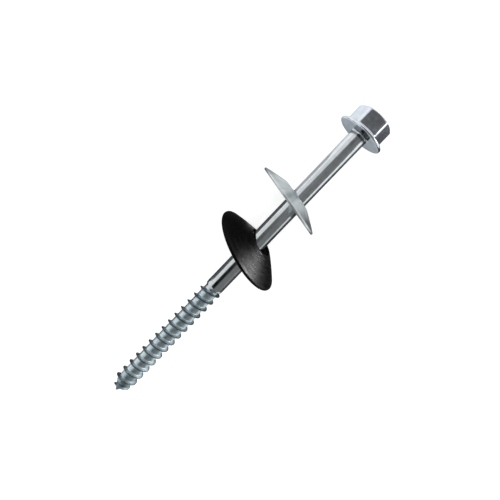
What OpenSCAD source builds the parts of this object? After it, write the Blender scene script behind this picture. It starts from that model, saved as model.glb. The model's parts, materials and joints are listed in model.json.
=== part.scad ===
// Roofing screw with a hexagon flange head, a coarse wood thread and two loose washers on its shank.
// It lies on a surface: the rims of both washers and the flange touch it, and the point stands clear.

/* [Screw] */
// Length from the point to the bearing face under the head
screw_length = 130; // [112:1:180]
// Diameter of the plain shank
shank_d = 6.85; // [6.6:0.05:7.2]
// Length of the cone between the thread and the plain shank
shank_lead = 1.3; // [0.8:0.1:3]
// Radius of the fillet between the shank and the flange
neck_fillet = 0.6; // [0.3:0.1:1]

/* [Wood thread] */
// Diameter over the crests
thread_d = 8; // [7.4:0.1:9]
// Diameter of the core between two turns
root_d = 5.8; // [5:0.1:6.2]
// Distance from one turn to the next
thread_pitch = 3.52; // [3:0.02:4.2]
// Length of the threaded end with its point
thread_length = 54.5; // [40:0.5:66]
// Length of the cone that ends in the point
point_length = 4.6; // [3.5:0.1:7]
// Width of the flat on the crest
crest_w = 0.25; // [0.15:0.05:0.4]
// Width of the ridge where it leaves the core
ridge_w = 1.4; // [1:0.1:1.8]
// Distance from the point at which the ridge begins to rise
ridge_start = 0.3; // [0.2:0.1:1]
// Length over which the ridge rises to its full height
ridge_rise = 1.4; // [1:0.1:3]
// Length over which the ridge runs out at the shank
ridge_runout = 1.5; // [1:0.1:5]
// Place along the axis at which the turn of the ridge is counted from
thread_phase = 1.12; // [0:0.01:4]

/* [Head] */
// Width across the flats of the hexagon
hex_af = 13; // [11:0.5:14]
// Height of the head above the bearing face
head_h = 8.7; // [7:0.1:10]
// Inset of the round flat top from the flats
bevel_inset = 0.5; // [0.2:0.1:1]
// Slope of the bevel at the top
bevel_angle = 30; // [15:1:40]
// Turn of the hexagon about the axis
hex_turn = 15; // [0:1:59]
// Diameter of the flange
flange_d = 18.4; // [16.8:0.1:21]
// Thickness of the flange at its rounded rim
flange_t = 1.2; // [0.9:0.1:2]
// Height by which the flange rises from its rim to the hexagon
flange_rise = 0.6; // [0.2:0.1:1.2]

/* [Steel washer] */
// Diameter of the washer
steel_d = 29.4; // [26:0.1:32]
// Diameter of the hole
steel_hole = 11.4; // [10.6:0.1:12.6]
// Thickness of the sheet
steel_t = 1; // [0.8:0.1:1.6]
// Height of the dish from rim to hole
steel_rise = 3.1; // [2:0.1:4.5]
// Bulge of the dish between rim and hole
steel_crown = 0.1; // [0.05:0.01:0.6]
// Place along the plain shank, 0 at the thread and 1 at the flange
steel_place = 0.588; // [0.5:0.001:0.85]
// Lean back towards the point, in the upright plane
steel_lean = 6; // [0:0.1:9]
// Turn to the side
steel_turn = 9.7; // [0:0.1:12]
// Side on which the hole stands off the shank, from straight up
steel_hang = 65.6; // [-180:0.1:180]

/* [Rubber washer] */
// Diameter of the washer
rubber_d = 32.8; // [30:0.1:36]
// Diameter of the hole
rubber_hole = 10.2; // [9.8:0.1:12]
// Thickness of the wall
rubber_t = 1.3; // [1:0.1:2.6]
// Height of the cone from rim to hole
rubber_rise = 5.2; // [3.5:0.1:6.5]
// Bulge of the cone between rim and hole
rubber_crown = 0.12; // [0.05:0.01:0.9]
// Place along the plain shank, 0 at the thread and 1 at the flange
rubber_place = 0.305; // [0.2:0.001:0.4]
// Lean back towards the point, in the upright plane
rubber_lean = 18.4; // [0:0.1:22]
// Turn to the side
rubber_turn = 13.3; // [0:0.1:15]
// Side on which the hole stands off the shank, from straight up
rubber_hang = -79.5; // [-180:0.1:180]

/* [Fits] */
// Clearance between a washer's hole and the shank where they come closest
shank_gap = 0.15; // [0.05:0.01:0.3]

/* [Hidden] */
$fn = 96;

zinc = "#b8bec3";
washer_zinc = "#c9cecd";
black_rubber = "#232226";

shank_r = shank_d / 2;
root_r = root_d / 2;
ridge_h = (thread_d - root_d) / 2;
hex_r = hex_af / 2 / cos(30);
top_r = hex_af / 2 - bevel_inset;
head_top = screw_length + head_h;
core_seat = 0.05;
core_overlap = 0.6;
arc_steps = 20;
edge_steps = 8;

// Points on a circle arc in the plane of a profile
function arc(centre, r, from, to, steps) =
    [for (i = [0 : steps]) centre + r * [cos(from + (to - from) * i / steps), sin(from + (to - from) * i / steps)]];

// Lying: directions are given along the shank, to the side and up, before the head end goes down

function washer_axis(lean, turn) = [cos(lean) * cos(turn), -cos(lean) * sin(turn), sin(lean)];
function play(hole, wall, axis) = (hole + wall) / 2 * axis[0] - wall / 2 - shank_r - shank_gap;
function seat(place, hang, off) =
    [thread_length + place * (screw_length - thread_length), off * sin(hang), off * cos(hang)];
function up(tilt) = [-sin(tilt), 0, cos(tilt)];
function ring_low(centre, axis, r, edge, u) = centre * u - r * sqrt(1 - pow(axis * u, 2)) - edge;

steel_axis = washer_axis(steel_lean, steel_turn);
steel_at = seat(steel_place, steel_hang, play(steel_hole, steel_t, steel_axis));
steel_rim = steel_at - steel_rise * steel_axis;
rubber_axis = washer_axis(rubber_lean, rubber_turn);
rubber_at = seat(rubber_place, rubber_hang, play(rubber_hole, rubber_t, rubber_axis));
rubber_rim = rubber_at - rubber_rise * rubber_axis;

function steel_low(u) = ring_low(steel_rim, steel_axis, (steel_d - steel_t) / 2, steel_t / 2, u);
function rubber_low(u) = ring_low(rubber_rim, rubber_axis, (rubber_d - rubber_t) / 2, rubber_t / 2, u);
function flange_low(u) =
    ring_low([screw_length + flange_t / 2, 0, 0], [1, 0, 0], (flange_d - flange_t) / 2, flange_t / 2, u);
function head_clear(tilt) = min(steel_low(up(tilt)), flange_low(up(tilt))) - rubber_low(up(tilt));
function settle(low, high, rounds) =
    rounds == 0 ? (low + high) / 2
    : head_clear((low + high) / 2) > 0 ? settle((low + high) / 2, high, rounds - 1)
    : settle(low, (low + high) / 2, rounds - 1);

max_nose_up = 25;
nose_up = settle(0, max_nose_up, 40);
floor_level = rubber_low(up(nose_up));

function side_reach(d, t, axis) = (d - t) / 2 * sqrt(1 - pow(axis[1], 2)) + t / 2;
steel_reach = side_reach(steel_d, steel_t, steel_axis);
rubber_reach = side_reach(rubber_d, rubber_t, rubber_axis);
mid_side = (max(steel_rim[1] + steel_reach, rubber_rim[1] + rubber_reach)
    + min(steel_rim[1] - steel_reach, rubber_rim[1] - rubber_reach)) / 2;
mid_length = (head_top * cos(nose_up) + top_r * sin(nose_up)) / 2;

// Thread: one column of points for each angle, five points for each turn of the ridge

turn_steps = 32;
ridge_profile = [[-ridge_w / 2, 0], [-crest_w / 2, 1], [crest_w / 2, 1], [ridge_w / 2, 0], [thread_pitch / 2, 0]];
ridge_points = len(ridge_profile);
tip_rows = 0.45;
collar = 0.2;
rows_end = thread_length + (thread_pitch - ridge_w) / 2;
shank_start = rows_end + collar;
core_end = shank_start + core_overlap;
first_turn = -3;
turn_count = ceil(core_end / thread_pitch) + 6;
column_points = ridge_points * turn_count;

function core_at(z) = root_r * min(1, z / point_length);
function lead_at(z) =
    root_r + (shank_r - core_seat - root_r) * max(0, min(1, 1 - (thread_length - z) / shank_lead));
function root_at(z) = z < point_length ? core_at(z) : lead_at(z);
function ridge_at(z) =
    ridge_h * max(0, min(1, (z - ridge_start) / ridge_rise, (thread_length - z) / ridge_runout));
function crest_z(step, m) =
    thread_phase + thread_pitch * (first_turn + floor(m / ridge_points) + step / turn_steps);
function clip(z) = z < tip_rows ? 0 : z > rows_end ? core_end : z;
function point_z(step, m) = clip(crest_z(step, m) + ridge_profile[m % ridge_points][0]);
function point_r(step, m) =
    let (z = point_z(step, m))
        max(root_at(z), core_at(z) + ridge_profile[m % ridge_points][1] * ridge_at(z));
function thread_point(step, m) =
    let (a = 360 * step / turn_steps, r = point_r(step, m)) [r * cos(a), r * sin(a), point_z(step, m)];
function index(step, m) =
    step < turn_steps ? step * column_points + m : m + ridge_points;
function last_point(step) = step < turn_steps - 1 ? column_points - 2 : column_points - 2 - ridge_points;

thread_points = [for (s = [0 : turn_steps - 1]) for (m = [0 : column_points - 1]) thread_point(s, m)];
function apart(t) =
    thread_points[t[0]] != thread_points[t[1]]
    && thread_points[t[1]] != thread_points[t[2]]
    && thread_points[t[2]] != thread_points[t[0]];
thread_sides = [
    for (s = [0 : turn_steps - 1])
        for (m = [0 : last_point(s)])
            for (t = [
                [index(s, m), index(s, m + 1), index(s + 1, m + 1)],
                [index(s, m), index(s + 1, m + 1), index(s + 1, m)],
            ])
                if (apart(t)) t
];
thread_end = [for (s = [0 : turn_steps - 1]) index(turn_steps - 1 - s, column_points - 1)];

module threaded_end() {
    polyhedron(points = thread_points, faces = concat(thread_sides, [thread_end]));
}

// Plain shank, neck and flange turned from one outline
module shank_and_flange() {
    rim_r = flange_d / 2 - flange_t / 2;
    neck = [shank_r + neck_fillet, screw_length - neck_fillet];
    outline = concat(
        [[0, shank_start], [shank_r, shank_start]],
        arc(neck, neck_fillet, 180, 90, edge_steps),
        arc([rim_r, screw_length + flange_t / 2], flange_t / 2, -90, 90, edge_steps),
        [[hex_af / 2, screw_length + flange_t + flange_rise], [0, screw_length + flange_t + flange_rise]]
    );
    rotate_extrude() polygon(outline);
}

// Hexagon with its corners bevelled at the top
module hexagon() {
    reach = hex_r + 1;
    foot = screw_length + flange_t / 2;
    intersection() {
        translate([0, 0, foot]) rotate(hex_turn) cylinder(h = head_top - foot, r = hex_r, $fn = 6);
        rotate_extrude() polygon([
            [0, screw_length], [reach, screw_length],
            [reach, head_top - (reach - top_r) * tan(bevel_angle)],
            [top_r, head_top], [0, head_top],
        ]);
    }
}

// Dished ring with rounded edges: its hole is centred on the origin and its rim lies below
module dish(d, hole, wall, rise, crown) {
    inner = [(hole + wall) / 2, 0];
    outer = [(d - wall) / 2, -rise];
    span = norm(outer - inner);
    r = (span * span / 4 + crown * crown) / (2 * crown);
    outward = [inner[1] - outer[1], outer[0] - inner[0]] / span;
    centre = (inner + outer) / 2 - (r - crown) * outward;
    a0 = atan2(inner[1] - centre[1], inner[0] - centre[0]);
    a1 = atan2(outer[1] - centre[1], outer[0] - centre[0]);
    rotate_extrude() polygon(concat(
        arc(centre, r + wall / 2, a0, a1, arc_steps),
        arc(outer, wall / 2, a1, a1 - 180, edge_steps),
        arc(centre, r - wall / 2, a1, a0, arc_steps),
        arc(inner, wall / 2, a0 + 180, a0, edge_steps)
    ));
}

// Takes a piece that stands on its axis down to the surface
module lie() {
    translate([-mid_length, -mid_side, -floor_level]) rotate([0, 90 + nose_up, 0]) children();
}

// Hangs a washer on the shank at its own slant
module on_shank(at, lean, turn) {
    translate([-at[2], at[1], at[0]]) rotate([turn, 0, 0]) rotate([0, -lean, 0]) children();
}

module screw() {
    color(zinc) lie() union() {
        threaded_end();
        shank_and_flange();
        hexagon();
    }
}

module steel_washer() {
    color(washer_zinc) lie() on_shank(steel_at, steel_lean, steel_turn)
        dish(steel_d, steel_hole, steel_t, steel_rise, steel_crown);
}

module rubber_washer() {
    color(black_rubber) lie() on_shank(rubber_at, rubber_lean, rubber_turn)
        dish(rubber_d, rubber_hole, rubber_t, rubber_rise, rubber_crown);
}

screw();
steel_washer();
rubber_washer();
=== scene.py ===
"""Looks of the roofing screw: fine skins and finishes for the screw and its two loose washers."""

import json
import math

import bmesh
import bpy
from mathutils import Matrix, Vector


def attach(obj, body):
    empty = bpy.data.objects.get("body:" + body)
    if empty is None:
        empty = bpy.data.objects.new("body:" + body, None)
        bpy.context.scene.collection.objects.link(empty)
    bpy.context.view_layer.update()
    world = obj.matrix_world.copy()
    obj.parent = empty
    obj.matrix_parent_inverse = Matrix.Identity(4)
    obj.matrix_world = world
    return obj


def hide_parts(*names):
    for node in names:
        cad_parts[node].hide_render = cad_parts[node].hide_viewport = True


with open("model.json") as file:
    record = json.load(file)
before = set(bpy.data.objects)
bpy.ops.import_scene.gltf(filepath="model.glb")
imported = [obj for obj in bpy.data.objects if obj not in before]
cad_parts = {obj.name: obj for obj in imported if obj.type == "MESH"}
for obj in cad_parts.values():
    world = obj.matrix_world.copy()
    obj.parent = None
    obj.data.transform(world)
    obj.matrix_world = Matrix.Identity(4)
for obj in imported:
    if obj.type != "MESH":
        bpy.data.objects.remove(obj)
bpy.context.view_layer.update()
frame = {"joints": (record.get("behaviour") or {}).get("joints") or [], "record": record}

MM = 0.001

# Screw, in millimetres: z runs along the axis from the point to the head

SCREW_LENGTH = 130.0
SHANK_R = 3.425
SHANK_LEAD = 1.3
NECK_FILLET = 0.6
THREAD_LENGTH = 54.5
THREAD_R = 4.0
ROOT_R = 2.9
PITCH = 3.52
THREAD_PHASE = 1.12
POINT_LENGTH = 4.6
CREST_W = 0.25
RIDGE_W = 1.4
RIDGE_START = 0.3
RIDGE_RISE = 1.4
RIDGE_RUNOUT = 1.5
HEX_AF = 13.0
HEX_TURN = math.radians(15)
HEAD_H = 8.7
BEVEL_INSET = 0.5
BEVEL_SLOPE = math.tan(math.radians(30))
FLANGE_D = 18.4
FLANGE_T = 1.2
FLANGE_RISE = 0.6

ROWS_END = THREAD_LENGTH + (PITCH - RIDGE_W) / 2
HEAD_TOP = SCREW_LENGTH + HEAD_H
TOP_R = HEX_AF / 2 - BEVEL_INSET
SIXTH = math.pi / 3

# Roundings that a rolled thread and a forged head have, as shares of the flank or in millimetres

FOOT_ROUND = 0.16
CREST_ROUND = 0.1
CORNER_ROUND = 1.0
CORNER_GATHER = 0.65
EDGE_SOFT = 0.12
FOOT_FILLET = 0.3
ROUND_MIDDLE = 0.3
HOLD = 0.35

# Washers, in millimetres: place is a share of the plain shank, angles are in degrees

STEEL = dict(
    d=29.4, hole=11.4, wall=1.0, rise=3.1, crown=0.1, place=0.588, lean=6.0, turn=9.7, hang=65.6
)
RUBBER = dict(
    d=32.8, hole=10.2, wall=1.3, rise=5.2, crown=0.12, place=0.305, lean=18.4, turn=13.3, hang=-79.5
)
SHANK_GAP = 0.15

# Fineness of the skins: the last two are distances, in metres, below which points and edges merge

COLUMNS = 144
ARC_STEPS = 12
DISH_STEPS = 28
GROOVE_STEPS = 6
SPARE_TURNS = 2
SHARP_ANGLE = math.radians(50)
SAME_POINT = 1e-7
SHORT_EDGE = 1e-8

# Camera, in the frame of the shank: along it from the point, across it and towards the viewer

IMAGE_SIZE = 500
FOCAL_PIXELS = 460.0
SENSOR_MM = 36.0
CLIP_START = 0.001
VIEW_ROLL = math.radians(15)
VIEW_LEAN = math.radians(4)
IMAGE_TURN = math.radians(46.14)
VIEW_PLACE = Vector((85.15, -0.045, 168.09))


def place_of_screw():
    """Where the screw lies: its axis is the washers' slide axis, its bearing face is a mount."""
    record = frame["record"]
    seat = next(m for m in record["mounts"] if m["name"] == "bearing_face")
    along = Vector(frame["joints"][0]["axis"]).normalized()
    side = Vector((0, 1, 0))
    down = side.cross(along)
    point = Vector(seat["pos_m"]) - along * SCREW_LENGTH * MM
    turn = Matrix((down, side, along)).transposed().to_4x4()
    return Matrix.Translation(point) @ turn


SCREW_PLACE = place_of_screw()


def place_of_washer(hole, wall, place, lean, turn, hang, **_):
    """A washer hangs on the shank at its own slant, its hole against one side of it."""
    lean, turn, hang = (math.radians(angle) for angle in (lean, turn, hang))
    slant = math.cos(lean) * math.cos(turn)
    off = (hole + wall) / 2 * slant - wall / 2 - SHANK_R - SHANK_GAP
    along = THREAD_LENGTH + place * (SCREW_LENGTH - THREAD_LENGTH)
    seat = Vector((-off * math.cos(hang), off * math.sin(hang), along)) * MM
    tilt = Matrix.Rotation(turn, 4, "X") @ Matrix.Rotation(-lean, 4, "Y")
    return SCREW_PLACE @ Matrix.Translation(seat) @ tilt


# Skins: grids of points given as radius and height, one column for each angle


def arc(centre, r, start, end, steps):
    turns = [math.radians(start + (end - start) * i / steps) for i in range(steps + 1)]
    return [(centre[0] + r * math.cos(t), centre[1] + r * math.sin(t)) for t in turns]


def angle_of(column):
    return 2 * math.pi * column / COLUMNS


def spot_at(a, r, z):
    return (r * math.cos(a) * MM, r * math.sin(a) * MM, z * MM)


def spot(column, r, z):
    return spot_at(angle_of(column), r, z)


def grid_faces(start, rows, shift=0):
    """Faces between neighbouring columns; the last column joins the first, shift rows further up."""
    faces = []
    for s in range(COLUMNS):
        step = shift if s == COLUMNS - 1 else 0
        here = start + s * rows
        there = start + (s + 1) % COLUMNS * rows + step
        faces += [(here + m, there + m, there + m + 1, here + m + 1) for m in range(rows - 1 - step)]
    return faces


def make_piece(name, points, faces, place, body, material):
    """A smooth closed mesh that rides on its body and stands for that body's solid."""
    mesh = bpy.data.meshes.new(name)
    mesh.from_pydata(points, [], faces)
    skin = bmesh.new()
    skin.from_mesh(mesh)
    bmesh.ops.remove_doubles(skin, verts=skin.verts, dist=SAME_POINT)
    bmesh.ops.dissolve_degenerate(skin, edges=skin.edges, dist=SHORT_EDGE)
    for face in skin.faces:
        face.smooth = True
    for edge in skin.edges:
        edge.smooth = edge.calc_face_angle(0.0) < SHARP_ANGLE
    skin.to_mesh(mesh)
    skin.free()
    mesh.materials.append(material)
    piece = bpy.data.objects.new(name, mesh)
    piece.matrix_world = place
    bpy.context.scene.collection.objects.link(piece)
    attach(piece, body)
    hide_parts(body)
    return piece


# Thread


def soft_floor(x, k):
    """x, but never below 0, with a rounded corner of half width k."""
    if abs(x) >= k:
        return max(x, 0.0)
    return (x + k) ** 2 / (4 * k)


def ridge_rows():
    """Offsets along the axis and heights of one turn of the ridge, from its foot to the next groove."""
    flank = (RIDGE_W - CREST_W) / 2
    climb = [-FOOT_ROUND, 0, FOOT_ROUND, 0.5, 1 - CREST_ROUND, 1, 1 + CREST_ROUND]
    half = [
        (RIDGE_W / 2 - x * flank, 1 - soft_floor(1 - soft_floor(x, FOOT_ROUND), CREST_ROUND))
        for x in climb
    ]
    front = [(-offset, height) for offset, height in half]
    foot = half[0][0]
    groove = [(foot + (PITCH - 2 * foot) * i / GROOVE_STEPS, 0.0) for i in range(1, GROOVE_STEPS)]
    return front + [(0.0, 1.0)] + half[::-1] + groove


def smooth(x):
    x = max(0.0, min(1.0, x))
    return x * x * (3 - 2 * x)


def core_at(z):
    return ROOT_R * min(1.0, z / POINT_LENGTH)


def root_at(z):
    lead = smooth(1 - (THREAD_LENGTH - z) / SHANK_LEAD)
    return core_at(z) + (SHANK_R - ROOT_R) * lead


def ridge_at(z):
    rise = min((z - RIDGE_START) / RIDGE_RISE, (THREAD_LENGTH - z) / RIDGE_RUNOUT)
    return (THREAD_R - ROOT_R) * max(0.0, min(1.0, rise))


def thread_grid():
    rows = ridge_rows()
    turns = math.ceil(ROWS_END / PITCH) + 2 * SPARE_TURNS
    points = []
    for s in range(COLUMNS):
        for m in range(turns * len(rows)):
            offset, height = rows[m % len(rows)]
            z = THREAD_PHASE + PITCH * (m // len(rows) - SPARE_TURNS + s / COLUMNS) + offset
            z = max(0.0, min(ROWS_END, z))
            points.append(spot(s, max(root_at(z), core_at(z) + height * ridge_at(z)), z))
    return points, grid_faces(0, turns * len(rows), shift=len(rows))


# Shank, flange and hexagon


def turned_rings():
    """Outline of the shank and flange from the thread to the top of the flange, all round the axis."""
    neck = (SHANK_R + NECK_FILLET, SCREW_LENGTH - NECK_FILLET)
    rim = (FLANGE_D / 2 - FLANGE_T / 2, SCREW_LENGTH + FLANGE_T / 2)
    shank = [(SHANK_R, z) for z in (ROWS_END, ROWS_END + HOLD, neck[1] - 2 * HOLD, neck[1] - HOLD)]
    bearing = [(neck[0] + HOLD, SCREW_LENGTH), (rim[0] - HOLD, SCREW_LENGTH)]
    return (
        shank
        + arc(neck, NECK_FILLET, 180, 90, ARC_STEPS)
        + bearing
        + arc(rim, FLANGE_T / 2, -90, 90, ARC_STEPS)
    )


def flange_top(r):
    rim_r = FLANGE_D / 2 - FLANGE_T / 2
    return SCREW_LENGTH + FLANGE_T + FLANGE_RISE * (rim_r - r) / (rim_r - HEX_AF / 2)


def off_flat(angle):
    """Angle from the middle of the nearest flat of the hexagon."""
    return (angle - HEX_TURN) % SIXTH - SIXTH / 2


def head_angle(column):
    """Columns of the hexagon stand closer together near its corners."""
    a = angle_of(column)
    return a + CORNER_GATHER * SIXTH / (2 * math.pi) * math.sin(2 * math.pi * (a - HEX_TURN) / SIXTH)


def hexagon_r(angle):
    """Distance from the axis to the hexagon's side, with its six corners rounded."""
    turn = abs(off_flat(angle))
    flat_r = HEX_AF / 2
    centre_r = (flat_r - CORNER_ROUND) / math.cos(SIXTH / 2)
    arc_start = math.atan2(centre_r * math.sin(SIXTH / 2), flat_r)
    if turn <= arc_start:
        return flat_r / math.cos(turn)
    off = SIXTH / 2 - turn
    return centre_r * math.cos(off) + math.sqrt(CORNER_ROUND**2 - (centre_r * math.sin(off)) ** 2)


def bevel_z(r):
    return HEAD_TOP - max(0.0, r - TOP_R) * BEVEL_SLOPE


def head_rings(angle):
    """The hexagon above the flange, in one column."""
    r = hexagon_r(angle)
    foot = flange_top(r) + FOOT_FILLET
    brow = bevel_z(r)
    return [
        (r + FOOT_FILLET + HOLD, flange_top(r + FOOT_FILLET + HOLD)),
        (r + FOOT_FILLET, flange_top(r + FOOT_FILLET)),
        (r + FOOT_FILLET * ROUND_MIDDLE, flange_top(r) + FOOT_FILLET * ROUND_MIDDLE),
        (r, foot),
        (r, foot + HOLD),
        (r, brow - EDGE_SOFT - HOLD),
        (r, brow - EDGE_SOFT),
        (r - EDGE_SOFT * ROUND_MIDDLE, brow),
        (r - EDGE_SOFT, bevel_z(r - EDGE_SOFT)),
        (TOP_R + EDGE_SOFT, bevel_z(TOP_R + EDGE_SOFT)),
        (TOP_R - EDGE_SOFT, HEAD_TOP),
        (TOP_R - EDGE_SOFT - HOLD, HEAD_TOP),
        (TOP_R / 2, HEAD_TOP),
        (0.0, HEAD_TOP),
    ]


def make_screw(material):
    points, faces = thread_grid()
    turned = turned_rings()
    columns = []
    for s in range(COLUMNS):
        a = head_angle(s)
        columns.append([spot(s, r, z) for r, z in turned] + [spot_at(a, r, z) for r, z in head_rings(a)])
    faces += grid_faces(len(points), len(columns[0]))
    points += [point for column in columns for point in column]
    return make_piece("screw_skin", points, faces, SCREW_PLACE, "screw", material)


# Washers


def dish_outline(d, hole, wall, rise, crown, **_):
    """Section of a dished ring with rounded edges, its hole at height 0 and its rim below."""
    inner = Vector(((hole + wall) / 2, 0))
    outer = Vector(((d - wall) / 2, -rise))
    across = outer - inner
    r = (across.length_squared / 4 + crown**2) / (2 * crown)
    outward = Vector((-across.y, across.x)).normalized()
    centre = (inner + outer) / 2 - (r - crown) * outward
    start, end = (math.degrees(math.atan2(p.y - centre.y, p.x - centre.x)) for p in (inner, outer))
    return (
        arc(centre, r + wall / 2, start, end, DISH_STEPS)
        + arc(outer, wall / 2, end, end - 180, ARC_STEPS)[1:]
        + arc(centre, r - wall / 2, end, start, DISH_STEPS)[1:]
        + arc(inner, wall / 2, start + 180, start, ARC_STEPS)[1:]
    )


def make_washer(name, sizes, material):
    outline = dish_outline(**sizes)[::-1]
    points = [spot(s, r, z) for s in range(COLUMNS) for r, z in outline]
    faces = grid_faces(0, len(outline))
    return make_piece(f"{name}_skin", points, faces, place_of_washer(**sizes), name, material)


# Nodes

RANGE_KEYS = ("From Min", "From Max", "To Min", "To Max")


def join(tree, socket, value):
    """Links a node's output to a socket, or sets the socket to a plain value."""
    if isinstance(value, bpy.types.NodeSocket):
        tree.links.new(value, socket)
    else:
        socket.default_value = value


class Finish:
    """A material's nodes, with short calls that add one and join its inputs."""

    def __init__(self, name):
        self.material = bpy.data.materials.new(name)
        self.material.use_nodes = True
        self.tree = self.material.node_tree
        self.shader = self.tree.nodes["Principled BSDF"]
        spread = self.node("ShaderNodeMapping", Vector=self.node("ShaderNodeTexCoord").outputs["Object"])
        spread.inputs["Scale"].default_value = (1 / MM,) * 3
        self.place = spread.outputs["Vector"]

    def node(self, kind, settings=None, **inputs):
        made = self.tree.nodes.new(kind)
        for key, value in (settings or {}).items():
            setattr(made, key, value)
        for key, value in inputs.items():
            join(self.tree, made.inputs[key], value)
        return made

    def noise(self, scale, detail, stretch=(1, 1, 1), roughness=0.55):
        """Cloud noise: scale counts its spots to the millimetre, a small stretch draws them out."""
        moved = self.node("ShaderNodeMapping", Vector=self.place, Scale=stretch).outputs["Vector"]
        made = self.node(
            "ShaderNodeTexNoise", Vector=moved, Scale=scale, Detail=detail, Roughness=roughness
        )
        return made.outputs["Fac"]

    def streaks(self, place, scale, detail):
        """Noise over other places than the piece's own, which draw it out into streaks."""
        made = self.node("ShaderNodeTexNoise", Vector=place, Scale=scale, Detail=detail)
        return made.outputs["Fac"]

    def between(self, value, low, high, out_low, out_high):
        made = self.node("ShaderNodeMapRange", Value=value)
        for key, number in zip(RANGE_KEYS, (low, high, out_low, out_high)):
            made.inputs[key].default_value = number
        return made.outputs["Result"]

    def arithmetic(self, operation, a, b):
        made = self.node("ShaderNodeMath", dict(operation=operation))
        join(self.tree, made.inputs[0], a)
        join(self.tree, made.inputs[1], b)
        return made.outputs["Value"]

    def sum(self, a, b):
        return self.arithmetic("ADD", a, b)

    def product(self, a, b):
        return self.arithmetic("MULTIPLY", a, b)

    def blend(self, share, a, b):
        """The sum of two values, of which a takes the given share."""
        return self.sum(self.product(a, share), self.product(b, 1 - share))

    def ramp(self, value, stops):
        made = self.node("ShaderNodeValToRGB", Fac=value)
        elements = made.color_ramp.elements
        while len(elements) < len(stops):
            elements.new(0.5)
        for element, (at, colour) in zip(elements, stops):
            element.position = at
            element.color = (*colour, 1)
        return made.outputs["Color"]

    def mix(self, share, a, b):
        """A colour that goes from a to b with the share."""
        made = self.node("ShaderNodeMix", dict(data_type="RGBA"))
        for socket, value in zip((made.inputs["Factor"], *made.inputs[6:8]), (share, a, b)):
            join(self.tree, socket, value)
        return made.outputs[2]

    def from_axis(self):
        """The place across the axis, and how far it lies from it."""
        flat = self.node("ShaderNodeMapping", Vector=self.place, Scale=(1, 1, 0)).outputs["Vector"]
        radius = self.node("ShaderNodeVectorMath", dict(operation="LENGTH"), Vector=flat)
        return flat, radius.outputs["Value"]

    def spoke(self, flat):
        """The direction out from the axis, as a place on a circle of radius 1."""
        made = self.node("ShaderNodeVectorMath", dict(operation="NORMALIZE"), Vector=flat)
        return made.outputs["Vector"]

    def bump(self, height, depth_mm, under=None):
        made = self.node("ShaderNodeBump", Height=height, Strength=1.0, Distance=depth_mm * MM)
        if under is not None:
            join(self.tree, made.inputs["Normal"], under)
        return made.outputs["Normal"]

    def surface(self, colour, rough, normal):
        for key, value in (("Base Color", colour), ("Roughness", rough), ("Normal", normal)):
            join(self.tree, self.shader.inputs[key], value)

    def metal(self, edge_tint):
        """Metal whose grazing views take the given tint."""
        self.shader.inputs["Metallic"].default_value = 1.0
        self.shader.inputs["Specular Tint"].default_value = edge_tint


# Zinc of the screw: depths and distances in millimetres, ramps by the value of their noise

NOISE_SPAN = (0.3, 0.7)
MOTTLE = dict(scale=0.5, detail=5)
GRAIN = dict(scale=1.5, detail=5, roughness=0.65)
DRAWN_LINES = dict(scale=5, detail=3, stretch=(1, 1, 0.02))
HEAD_WAVES = dict(scale=0.2, detail=2)
FROST_FADE = (THREAD_LENGTH + 0.5, THREAD_LENGTH - 2.5)
FORGED_FADE = (SCREW_LENGTH - 0.5, SCREW_LENGTH + 0.5)
ZINC_BRIGHT = (
    (0.3, (0.55, 0.585, 0.605)),
    (0.55, (0.645, 0.685, 0.71)),
    (0.75, (0.68, 0.705, 0.745)),
)
# The head's zinc, lighter and bluer than the shank's: painted brightness for the reflections on its
# facets and under its flange
HEAD_ZINC_PAINTED_BRIGHT = (
    (0.3, (0.65, 0.69, 0.75)),
    (0.7, (0.77, 0.82, 0.885)),
)
# Thread colour by the ridge's height: painted shade, the crests darken to near black for the dark lines
# on their edges
RIDGE_PAINTED_SHADE = (
    (0.0, (0.62, 0.735, 0.78)),
    (0.62, (0.60, 0.70, 0.745)),
    (0.82, (0.31, 0.37, 0.40)),
    (1.0, (0.05, 0.07, 0.08)),
)
CREST_RAGGED = 0.15
SPECK_COLOUR = (0.27, 0.325, 0.35, 1)
SPECK_SPAN = (0.5, 0.68)
SPECK_SHARE = 0.6
TIP_COLOUR = (0.13, 0.18, 0.20, 1)
TIP_FADE = (11.0, 2.0)
TIP_RAGGED = 2.0
TIP_SHARE = 0.85
ZINC_ROUGH = (0.12, 0.18)
FROST_ROUGH = 0.26
LINE_DEPTH = 0.004
WAVE_DEPTH = 0.25
GRAIN_DEPTH = 0.07
GRAIN_OFF_THREAD = 0.015
ZINC_EDGE_TINT = (0.22, 0.24, 0.25, 1)


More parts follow.
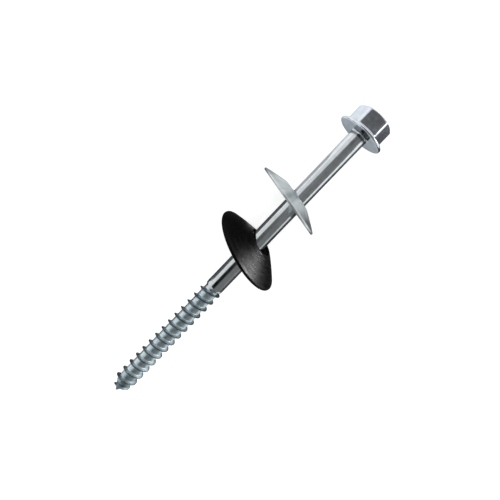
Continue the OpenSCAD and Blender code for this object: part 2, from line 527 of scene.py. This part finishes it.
def zinc_finish():
    """Bright zinc: drawn lines along the shank, a frosted thread with painted shade darkening its
    crests, a forged head in a lighter zinc that paints in its brighter reflections.
    """
    zinc = Finish("zinc_plating")
    mottle = zinc.noise(**MOTTLE)
    grain = zinc.noise(**GRAIN)
    drawn = zinc.noise(**DRAWN_LINES)
    waves = zinc.noise(**HEAD_WAVES)
    height = zinc.node("ShaderNodeSeparateXYZ", Vector=zinc.place).outputs["Z"]
    _, radius = zinc.from_axis()
    frost = zinc.between(height, *FROST_FADE, 0.0, 1.0)
    forged = zinc.between(height, *FORGED_FADE, 0.0, 1.0)

    # Painted brightness: from the bearing face up, the head takes the lighter zinc
    smooth_part = zinc.mix(forged, zinc.ramp(mottle, ZINC_BRIGHT), zinc.ramp(mottle, HEAD_ZINC_PAINTED_BRIGHT))
    ragged_radius = zinc.sum(radius, zinc.between(grain, *NOISE_SPAN, -CREST_RAGGED, CREST_RAGGED))
    ridge = zinc.between(ragged_radius, ROOT_R, THREAD_R, 0.0, 1.0)
    specks = zinc.between(grain, *SPECK_SPAN, 0.0, SPECK_SHARE)
    # Painted shade: the thread darkens towards its crests, the edge of that shade ragged by the grain
    thread = zinc.mix(specks, zinc.ramp(ridge, RIDGE_PAINTED_SHADE), SPECK_COLOUR)
    ragged_height = zinc.sum(height, zinc.between(mottle, *NOISE_SPAN, -TIP_RAGGED, TIP_RAGGED))
    tip = zinc.between(ragged_height, *TIP_FADE, 0.0, TIP_SHARE)
    colour = zinc.mix(tip, zinc.mix(frost, smooth_part, thread), TIP_COLOUR)

    polish = zinc.between(mottle, *NOISE_SPAN, *ZINC_ROUGH)
    rough = zinc.sum(polish, zinc.product(frost, FROST_ROUGH))
    lines = zinc.bump(drawn, LINE_DEPTH)
    swell = zinc.bump(zinc.product(waves, forged), WAVE_DEPTH, lines)
    frosting = zinc.product(grain, zinc.between(frost, 0.0, 1.0, GRAIN_OFF_THREAD, 1.0))
    zinc.surface(colour, rough, zinc.bump(frosting, GRAIN_DEPTH, swell))
    zinc.metal(ZINC_EDGE_TINT)
    return zinc.material


# Zinc of the steel washer

SATIN_CLOUD = dict(scale=0.35, detail=5)
SATIN_STREAKS = dict(scale=4.5, detail=5)
SATIN_GRAIN = dict(scale=7, detail=2)
SATIN_STREAK_SHARE = 0.7
SATIN_TONES = (
    (0.36, (0.49, 0.535, 0.545)),
    (0.5, (0.66, 0.705, 0.715)),
    (0.64, (0.85, 0.88, 0.89)),
)
SATIN_ROUGH = (0.34, 0.44)
SATIN_STREAK_ROUGH = (0.04, -0.06)
SATIN_STREAK_DEPTH = 0.06
SATIN_GRAIN_DEPTH = 0.012
SATIN_EDGE_TINT = (0.5, 0.52, 0.52, 1)


def washer_finish():
    """Satin zinc on pressed sheet: cloudy, with streaks that run out from the hole."""
    zinc = Finish("satin_zinc")
    cloud = zinc.noise(**SATIN_CLOUD)
    flat, _ = zinc.from_axis()
    streaks = zinc.streaks(zinc.spoke(flat), **SATIN_STREAKS)
    colour = zinc.ramp(zinc.blend(SATIN_STREAK_SHARE, streaks, cloud), SATIN_TONES)
    cloudy = zinc.between(cloud, *NOISE_SPAN, *SATIN_ROUGH)
    rough = zinc.sum(cloudy, zinc.between(streaks, *NOISE_SPAN, *SATIN_STREAK_ROUGH))
    brushed = zinc.bump(streaks, SATIN_STREAK_DEPTH)
    zinc.surface(colour, rough, zinc.bump(zinc.noise(**SATIN_GRAIN), SATIN_GRAIN_DEPTH, brushed))
    zinc.metal(SATIN_EDGE_TINT)
    return zinc.material


# Rubber

RUBBER_STREAKS = dict(scale=2.4, detail=5)
RUBBER_CLOUD = dict(scale=0.3, detail=4)
RUBBER_DUST = dict(scale=2.5, detail=6, roughness=0.7)
RUBBER_GRAIN = dict(scale=10, detail=2)
RUBBER_CLOUD_SHARE = 0.5
RUBBER_TONES = (
    (0.35, (0.0015, 0.0014, 0.0016)),
    (0.65, (0.003, 0.0027, 0.0033)),
    (0.85, (0.012, 0.011, 0.013)),
)
RUBBER_STREAK_SPAN = (0.35, 0.65)
RUBBER_ROUGH = (0.24, 0.46)
HOLE_FADE = (RUBBER["hole"] / 2 + 0.9, RUBBER["hole"] / 2 + 0.5)
HOLE_ROUGH = 0.6
RUBBER_STREAK_DEPTH = 0.09
RUBBER_GRAIN_DEPTH = 0.02
RUBBER_SPECULAR = 0.05


def rubber_finish():
    """Moulded black rubber: turned streaks, a fine grain, a little dust and a matt hole."""
    rubber = Finish("black_rubber")
    flat, radius = rubber.from_axis()
    split = rubber.node("ShaderNodeSeparateXYZ", Vector=rubber.spoke(flat))
    polar = rubber.node("ShaderNodeCombineXYZ", X=split.outputs["X"], Y=split.outputs["Y"], Z=radius)
    streaks = rubber.streaks(polar.outputs["Vector"], **RUBBER_STREAKS)
    cloud = rubber.noise(**RUBBER_CLOUD)
    dust = rubber.noise(**RUBBER_DUST)
    colour = rubber.ramp(rubber.blend(RUBBER_CLOUD_SHARE, cloud, dust), RUBBER_TONES)
    hole = rubber.between(radius, *HOLE_FADE, 0.0, HOLE_ROUGH)
    rough = rubber.sum(rubber.between(streaks, *RUBBER_STREAK_SPAN, *RUBBER_ROUGH), hole)
    turned = rubber.bump(streaks, RUBBER_STREAK_DEPTH)
    rubber.surface(colour, rough, rubber.bump(rubber.noise(**RUBBER_GRAIN), RUBBER_GRAIN_DEPTH, turned))
    rubber.shader.inputs["Specular IOR Level"].default_value = RUBBER_SPECULAR
    return rubber.material


# Studio

FLOOR_REACH = 20.0
FLOOR_COLOUR = (0.9, 0.9, 0.9, 1)
FLOOR_GLOW = 0.67
WHITE = (1, 1, 1, 1)
SUN_STRENGTH = 0.23 * math.pi
SUN_SPREAD = math.radians(70)


def heights(low, high):
    """Two angles above the floor, in degrees, as the upward parts of a ray of length 1."""
    return math.sin(math.radians(low)), math.sin(math.radians(high))


# Levels of the room that the metal mirrors, and where a ray of length 1 passes from one to the next

LOW_WALL = 0.97
BRIGHT_SIDE = 0.92
FAR_SIDE = 0.21
STRIP_BY_HEAD = 1.4
CEILING_BY_POINT = 0.0
CEILING_BY_HEAD = 0.26
CEILING_BEYOND = 0.12
WALL_TOP = heights(10, 17)
BRIGHT_TOP = heights(37, 49)
STRIP_TOP = heights(22, 34)
CEILING_TO_HEAD = (-0.02, 0.24)
CEILING_TO_BEYOND = (0.28, 0.42)
STRIP_TO_HEAD = (-0.12, 0.22)
FAR_TO_NEAR = (-0.1, 0.2)

# Lamps that only reflections show, in metres and watts: each lights one piece

LAMPS = (
    dict(
        name="beyond", place=(0.32, -0.265, 0.06), wide=0.16, long=0.20, power=10.0, lit="rubber_washer"
    ),
    dict(name="corner", place=(0.22, -0.33, 0.15), wide=0.04, long=0.25, power=0.08, lit="screw"),
    dict(name="teeth", place=(0.30, -0.28, 0.10), wide=0.16, long=0.20, power=0.35, lit="screw"),
)

# Cards that only reflections show, in millimetres: foot and top are to the side of the axis, start and
# end along it, and the height of the top is given at both ends as a share of the axis's own height

FLAG_LIFT = 0.5 * MM
FLAGS = (
    dict(name="flag_right", foot=-17, top=-22, start=50, end=155, by_start=1.35, by_end=1.4, tone=0.2),
    dict(name="flag_left", foot=5, top=40, start=50, end=100, by_start=1.05, by_end=0.55, tone=0.25),
    dict(name="edge_left", foot=12, top=50, start=99, end=121, by_start=0.05, by_end=0.05, tone=0.9),
    dict(name="thread_right", foot=-3, top=-28, start=-12, end=82, by_start=0.1, by_end=0.1, tone=0.05),
    dict(name="thread_left", foot=3, top=42, start=-12, end=50, by_start=0.1, by_end=0.1, tone=0.08),
)


def background_rays(tree):
    """1 for rays that show the background: from the camera, in metal and through glass."""
    path = tree.nodes.new("ShaderNodeLightPath")
    total = path.outputs["Is Camera Ray"]
    for ray in ("Is Glossy Ray", "Is Transmission Ray"):
        both = tree.nodes.new("ShaderNodeMath")
        both.operation = "MAXIMUM"
        tree.links.new(total, both.inputs[0])
        tree.links.new(path.outputs[ray], both.inputs[1])
        total = both.outputs["Value"]
    return total


def stage_sheet(name, corners, material):
    mesh = bpy.data.meshes.new(name)
    mesh.from_pydata(corners, [], [(0, 1, 2, 3)])
    mesh.materials.append(material)
    sheet = bpy.data.objects.new(name, mesh)
    bpy.context.scene.collection.objects.link(sheet)
    return sheet


def matt_material(name, colour):
    material = bpy.data.materials.new(name)
    material.use_nodes = True
    shader = material.node_tree.nodes["Principled BSDF"]
    shader.inputs["Base Color"].default_value = colour
    shader.inputs["Roughness"].default_value = 1.0
    shader.inputs["Specular IOR Level"].default_value = 0.0
    return material, shader


def make_floor():
    material, shader = matt_material("floor_white", FLOOR_COLOUR)
    tree = material.node_tree
    shader.inputs["Emission Color"].default_value = WHITE
    glow = tree.nodes.new("ShaderNodeMath")
    glow.operation = "MULTIPLY"
    glow.inputs[1].default_value = FLOOR_GLOW
    tree.links.new(background_rays(tree), glow.inputs[0])
    tree.links.new(glow.outputs["Value"], shader.inputs["Emission Strength"])
    far = FLOOR_REACH
    stage_sheet("floor", [(-far, -far, 0), (far, -far, 0), (far, far, 0), (-far, far, 0)], material)


def make_flags():
    """Matt cards along both sides that only reflections show: they shape the lines on the metal."""
    for spec in FLAGS:
        tone = spec["tone"]
        material, _ = matt_material(spec["name"], (tone, tone, tone, 1))
        start, end = (SCREW_PLACE @ Vector((0, 0, spec[key] * MM)) for key in ("start", "end"))
        foot = start.y + spec["foot"] * MM
        top = start.y + spec["top"] * MM
        corners = [
            (start.x, foot, FLAG_LIFT),
            (end.x, foot, FLAG_LIFT),
            (end.x, top, end.z * spec["by_end"]),
            (start.x, top, start.z * spec["by_start"]),
        ]
        flag = stage_sheet(spec["name"], corners, material)
        for ray in ("camera", "diffuse", "transmission", "shadow"):
            setattr(flag, f"visible_{ray}", False)


def make_sky():
    """A room with one bright side, a low pale wall, a strip of light by the head and a dark ceiling."""
    world = bpy.data.worlds.new("studio")
    world.use_nodes = True
    tree = world.node_tree
    split = tree.nodes.new("ShaderNodeSeparateXYZ")
    tree.links.new(tree.nodes.new("ShaderNodeTexCoord").outputs["Generated"], split.inputs["Vector"])
    along, side, up = split.outputs

    def ease(value, low, high, start, end):
        made = tree.nodes.new("ShaderNodeMapRange")
        made.interpolation_type = "SMOOTHSTEP"
        tree.links.new(value, made.inputs["Value"])
        for key, level in zip(RANGE_KEYS, (low, high, start, end)):
            join(tree, made.inputs[key], level)
        return made.outputs["Result"]

    ceiling = ease(along, *CEILING_TO_HEAD, CEILING_BY_POINT, CEILING_BY_HEAD)
    ceiling = ease(along, *CEILING_TO_BEYOND, ceiling, CEILING_BEYOND)
    strip = ease(along, *STRIP_TO_HEAD, FAR_SIDE, STRIP_BY_HEAD)
    far_side = ease(up, *STRIP_TOP, strip, FAR_SIDE)
    near_side = ease(up, *BRIGHT_TOP, BRIGHT_SIDE, ceiling)
    room = ease(side, *FAR_TO_NEAR, far_side, near_side)
    level = ease(up, *WALL_TOP, LOW_WALL, room)
    background = tree.nodes["Background"]
    tree.links.new(level, background.inputs["Strength"])
    background.inputs["Color"].default_value = WHITE
    bpy.context.scene.world = world


def view_axes():
    """Along the shank, across it and towards the viewer, in the frame of the screw."""
    along = Vector((0, 0, 1))
    towards = Vector((-math.cos(VIEW_ROLL), math.sin(VIEW_ROLL), 0))
    return Matrix((along, towards.cross(along), towards)).transposed().to_4x4()


def make_sun():
    """A soft lamp by the viewer for the floor, which metal doesn't mirror."""
    data = bpy.data.lights.new("above", "SUN")
    data.energy = SUN_STRENGTH
    data.angle = SUN_SPREAD
    sun = bpy.data.objects.new("above", data)
    sun.matrix_world = SCREW_PLACE @ view_axes()
    sun.visible_glossy = False
    bpy.context.scene.collection.objects.link(sun)


def make_lamps(skins):
    """Lamps that face the part and only glint: on the rubber, a corner of the head and the thread."""
    for spec in LAMPS:
        data = bpy.data.lights.new(spec["name"], "AREA")
        data.shape = "RECTANGLE"
        data.size = spec["wide"]
        data.size_y = spec["long"]
        data.energy = spec["power"]
        lamp = bpy.data.objects.new(spec["name"], data)
        place = Vector(spec["place"])
        away = place.normalized()
        level = Vector((1, 0, 0)).cross(away).normalized()
        turn = Matrix((level.cross(away), level, away)).transposed().to_4x4()
        lamp.matrix_world = Matrix.Translation(place) @ turn
        lamp.visible_camera = False
        lamp.visible_diffuse = False
        lit = bpy.data.collections.new(f"{spec['name']}_lights")
        lit.objects.link(skins[spec["lit"]])
        lamp.light_linking.receiver_collection = lit
        bpy.context.scene.collection.objects.link(lamp)


def make_camera():
    turn = Matrix.Rotation(VIEW_LEAN, 4, "Y") @ Matrix.Rotation(-IMAGE_TURN, 4, "Z")
    data = bpy.data.cameras.new("camera")
    data.sensor_width = SENSOR_MM
    data.lens = FOCAL_PIXELS / IMAGE_SIZE * SENSOR_MM
    data.clip_start = CLIP_START
    data.clip_end = 2 * FLOOR_REACH
    camera = bpy.data.objects.new("camera", data)
    camera.matrix_world = SCREW_PLACE @ view_axes() @ Matrix.Translation(VIEW_PLACE * MM) @ turn
    bpy.context.scene.collection.objects.link(camera)
    bpy.context.scene.camera = camera


skins = dict(
    screw=make_screw(zinc_finish()),
    steel_washer=make_washer("steel_washer", STEEL, washer_finish()),
    rubber_washer=make_washer("rubber_washer", RUBBER, rubber_finish()),
)
make_floor()
make_flags()
make_sky()
make_sun()
make_lamps(skins)
make_camera()
bpy.context.scene.view_settings.view_transform = "Standard"
